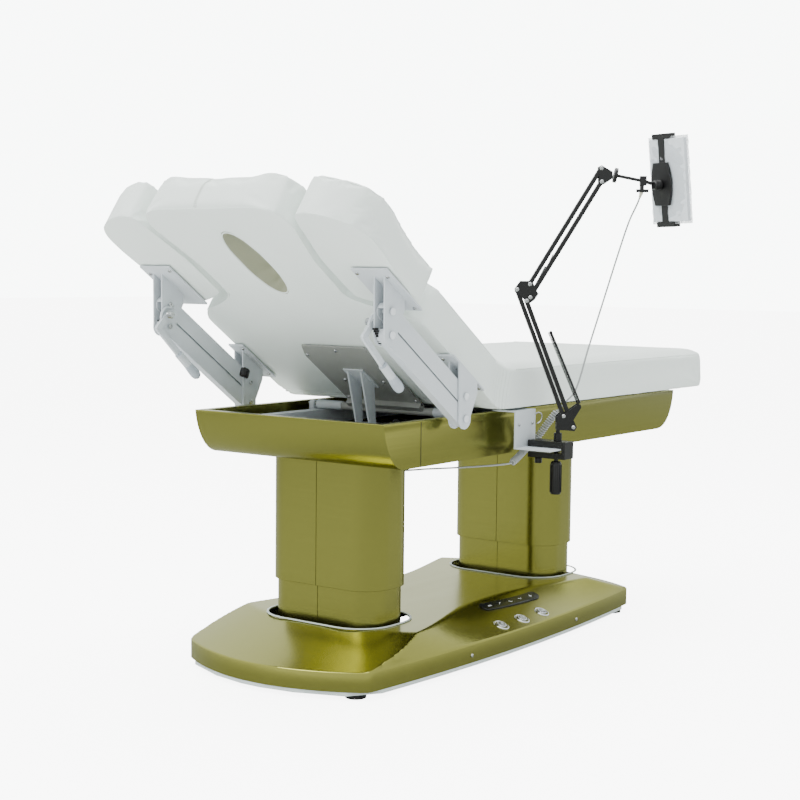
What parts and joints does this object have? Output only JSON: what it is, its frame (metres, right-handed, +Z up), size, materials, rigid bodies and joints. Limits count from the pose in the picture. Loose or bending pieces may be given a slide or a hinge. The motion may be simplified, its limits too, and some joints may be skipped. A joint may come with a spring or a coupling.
{
  "type": "facial treatment bed",
  "caption": "Electric treatment bed with a hinged backrest, face hole, drop-down armrests, lifting columns, base controls and a clamped tablet arm",
  "frame": {"origin": "centre of the whole assembly in plan, on the floor", "axes": "+X from the head end to the foot end, +Y to the side away from the tablet arm, +Z up"},
  "size_m": [2.0008, 1.1896, 1.4371],
  "materials": {
    "gold": "brushed olive-gold stainless cover sheet",
    "leather": "white soft upholstery leather with piping",
    "grey_bracket": "light grey powder coat",
    "back_plate": "grey powder-coated steel plate",
    "light_strip": "frosted light diffuser",
    "black_plastic": "moulded black plastic",
    "black_steel": "satin black powder coat",
    "steel": "bright steel",
    "button_metal": "chrome push button with etched symbol",
    "touch_glass": "dark glass touch strip",
    "foot_rubber": "black rubber foot",
    "tablet": "white tablet in a clear protective bag",
    "cord": "grey cord jacket"
  },
  "bodies": {
    "base": {"base_chassis": "black_steel", "base_cover": "gold", "rim_light": "light_strip", "column_ring_head": "light_strip", "column_ring_foot": "light_strip", "leveling_foot_head_left": "foot_rubber", "leveling_foot_head_right": "foot_rubber", "leveling_foot_foot_left": "foot_rubber", "leveling_foot_foot_right": "foot_rubber", "inner_sleeve_head": "gold", "inner_sleeve_foot": "gold", "lower_stage_head": "black_steel", "lower_stage_foot": "black_steel", "touch_strip": "touch_glass"},
    "button_down": {"button_down": "button_metal"},
    "button_power": {"button_power": "button_metal"},
    "button_up": {"button_up": "button_metal"},
    "lift": {"outer_sleeve_head": "gold", "outer_sleeve_foot": "gold", "upper_stage_head": "steel", "upper_stage_foot": "steel", "tray_cover": "gold", "top_frame": "grey_bracket", "hinge_pin": "steel", "seat_mattress": "leather", "accessory_bracket": "grey_bracket", "arm_clamp": "black_plastic", "cord_tray_run": "cord", "cord_coil": "cord"},
    "backrest": {"back_mattress": "leather", "back_plate": "back_plate", "actuator_clevis": "grey_bracket", "arm_bracket_left": "grey_bracket", "arm_bracket_right": "grey_bracket"},
    "actuator_tube": {"actuator_body": "black_plastic"},
    "actuator_piston": {"actuator_rod": "steel"},
    "clamp_screw": {"clamp_screw": "black_plastic"},
    "swivel": {"arm_swivel": "black_steel", "cord_arm_run": "cord"},
    "lower_bar_outer": {"lower_bar_outer": "black_steel"},
    "lower_bar_inner": {"lower_bar_inner": "black_steel"},
    "elbow": {"elbow_plates": "black_steel"},
    "upper_bar_outer": {"upper_bar_outer": "black_steel"},
    "upper_bar_inner": {"upper_bar_inner": "black_steel"},
    "wrist": {"wrist_plates": "black_steel"},
    "holder_rod": {"holder_rod": "black_plastic"},
    "holder": {"holder_plate": "black_plastic", "tablet": "tablet"},
    "jaw_upper": {"jaw_upper": "black_plastic"},
    "jaw_lower": {"jaw_lower": "black_plastic"},
    "lower_link_left": {"lower_link_left": "grey_bracket"},
    "upper_link_left": {"upper_link_left": "grey_bracket"},
    "armrest_left": {"pad_bracket_left": "grey_bracket", "arm_pad_left": "leather"},
    "lever_left": {"release_lever_left": "grey_bracket"},
    "lower_link_right": {"lower_link_right": "grey_bracket"},
    "upper_link_right": {"upper_link_right": "grey_bracket"},
    "armrest_right": {"pad_bracket_right": "grey_bracket", "arm_pad_right": "leather"},
    "lever_right": {"release_lever_right": "grey_bracket"}
  },
  "joints": [
    {"name": "button_down_press", "type": "slide", "parent": "base", "child": "button_down", "axis": [0, 0.3714, -0.9285], "range_m": [0, 0.002], "stiffness_N_per_m": 400, "springref_m": -0.0006},
    {"name": "button_power_press", "type": "slide", "parent": "base", "child": "button_power", "axis": [0, 0.3714, -0.9285], "range_m": [0, 0.002], "stiffness_N_per_m": 400, "springref_m": -0.0006},
    {"name": "button_up_press", "type": "slide", "parent": "base", "child": "button_up", "axis": [0, 0.3714, -0.9285], "range_m": [0, 0.002], "stiffness_N_per_m": 400, "springref_m": -0.0006},
    {"name": "lift_travel", "type": "slide", "parent": "base", "child": "lift", "axis": [0, 0, 1], "range_m": [-0.085, 0.115]},
    {"name": "back_recline", "type": "hinge", "parent": "lift", "child": "backrest", "pos_m": [-0.24464, 0.16482, 0.678], "axis": [0, 1, 0], "range_deg": [-34, 16]},
    {"name": "actuator_pitch", "type": "hinge", "parent": "lift", "child": "actuator_tube", "pos_m": [0.19336, 0.16482, 0.6], "axis": [0, 1, 0], "range_deg": [-6.2, 3.2]},
    {"name": "actuator_stroke", "type": "slide", "parent": "actuator_tube", "child": "actuator_piston", "axis": [-0.9973, 0, 0.074], "range_m": [-0.0345, 0.0165]},
    {"name": "armrest_drop_left", "type": "hinge", "parent": "backrest", "child": "lower_link_left", "pos_m": [-0.43014, 0.53182, 0.688], "axis": [0, 1, 0], "range_deg": [-20, 0]},
    {"name": "upper_link_pivot_left", "type": "hinge", "parent": "backrest", "child": "upper_link_left", "pos_m": [-0.42964, 0.53182, 0.745], "axis": [0, 1, 0], "range_deg": [-20, 0]},
    {"name": "armrest_level_left", "type": "hinge", "parent": "lower_link_left", "child": "armrest_left", "pos_m": [-0.74964, 0.53182, 0.91], "axis": [0, 1, 0], "range_deg": [0, 20]},
    {"name": "lever_pull_left", "type": "hinge", "parent": "armrest_left", "child": "lever_left", "pos_m": [-0.76464, 0.50582, 0.941], "axis": [0, 1, 0], "range_deg": [-10, 0], "stiffness_Nm_per_rad": 4, "springref_deg": 3.44},
    {"name": "armrest_drop_right", "type": "hinge", "parent": "backrest", "child": "lower_link_right", "pos_m": [-0.43014, -0.20218, 0.688], "axis": [0, 1, 0], "range_deg": [-20, 0]},
    {"name": "upper_link_pivot_right", "type": "hinge", "parent": "backrest", "child": "upper_link_right", "pos_m": [-0.42964, -0.20218, 0.745], "axis": [0, 1, 0], "range_deg": [-20, 0]},
    {"name": "armrest_level_right", "type": "hinge", "parent": "lower_link_right", "child": "armrest_right", "pos_m": [-0.74964, -0.20218, 0.91], "axis": [0, 1, 0], "range_deg": [0, 20]},
    {"name": "lever_pull_right", "type": "hinge", "parent": "armrest_right", "child": "lever_right", "pos_m": [-0.76464, -0.17618, 0.941], "axis": [0, 1, 0], "range_deg": [-10, 0], "stiffness_Nm_per_rad": 4, "springref_deg": 3.44},
    {"name": "clamp_screw_turn", "type": "hinge", "parent": "lift", "child": "clamp_screw", "pos_m": [-0.09164, -0.29118, 0.5], "axis": [0, 0, 1], "continuous": true},
    {"name": "arm_swivel_turn", "type": "hinge", "parent": "lift", "child": "swivel", "pos_m": [-0.09164, -0.29518, 0.62], "axis": [0, 0, 1], "range_deg": [-90, 38]},
    {"name": "lower_arm_lean", "type": "hinge", "parent": "swivel", "child": "lower_bar_outer", "pos_m": [-0.08396, -0.30567, 0.678], "axis": [0.807, 0.5906, 0], "range_deg": [0, 60]},
    {"name": "lower_bar_inner_pivot", "type": "hinge", "parent": "swivel", "child": "lower_bar_inner", "pos_m": [-0.06831, -0.32705, 0.648], "axis": [0.807, 0.5906, 0], "range_deg": [0, 60]},
    {"name": "elbow_level", "type": "hinge", "parent": "lower_bar_outer", "child": "elbow", "pos_m": [-0.16104, -0.20036, 1.017], "axis": [0.807, 0.5906, 0], "range_deg": [-60, 0]},
    {"name": "upper_arm_lean", "type": "hinge", "parent": "elbow", "child": "upper_bar_outer", "pos_m": [-0.14096, -0.2278, 1.0315], "axis": [0.807, 0.5906, 0], "range_deg": [0, 55]},
    {"name": "upper_bar_inner_pivot", "type": "hinge", "parent": "elbow", "child": "upper_bar_inner", "pos_m": [-0.14007, -0.22901, 0.996], "axis": [0.807, 0.5906, 0], "range_deg": [0, 55]},
    {"name": "wrist_level", "type": "hinge", "parent": "upper_bar_outer", "child": "wrist", "pos_m": [-0.03199, -0.37668, 1.3405], "axis": [0.807, 0.5906, 0], "range_deg": [-55, 0]},
    {"name": "holder_roll", "type": "hinge", "parent": "wrist", "child": "holder_rod", "pos_m": [-0.01132, -0.40493, 1.324], "axis": [0.58, -0.7924, -0.1888], "range_deg": [-90, 90]},
    {"name": "tablet_tilt", "type": "hinge", "parent": "holder_rod", "child": "holder", "pos_m": [0.05572, -0.49652, 1.2985], "axis": [0.3681, 0.9298, 0], "range_deg": [-35, 35]},
    {"name": "jaw_upper_slide", "type": "slide", "parent": "holder", "child": "jaw_upper", "axis": [-0.102, 0.0404, 0.994], "range_m": [0, 0.02], "stiffness_N_per_m": 150, "springref_m": -0.02},
    {"name": "jaw_lower_slide", "type": "slide", "parent": "holder", "child": "jaw_lower", "axis": [-0.102, 0.0404, 0.994], "range_m": [-0.02, 0]}
  ],
  "couplings": [
    {"joint": "actuator_pitch", "follows": "back_recline", "ratio": 0.165},
    {"joint": "actuator_stroke", "follows": "back_recline", "m_per_rad": 0.057},
    {"joint": "lower_bar_inner_pivot", "follows": "lower_arm_lean", "ratio": 1},
    {"joint": "elbow_level", "follows": "lower_arm_lean", "ratio": -1},
    {"joint": "upper_bar_inner_pivot", "follows": "upper_arm_lean", "ratio": 1},
    {"joint": "wrist_level", "follows": "upper_arm_lean", "ratio": -1},
    {"joint": "jaw_lower_slide", "follows": "jaw_upper_slide", "ratio": -1},
    {"joint": "upper_link_pivot_left", "follows": "armrest_drop_left", "ratio": 1},
    {"joint": "armrest_level_left", "follows": "armrest_drop_left", "ratio": -1},
    {"joint": "upper_link_pivot_right", "follows": "armrest_drop_right", "ratio": 1},
    {"joint": "armrest_level_right", "follows": "armrest_drop_right", "ratio": -1}
  ]
}
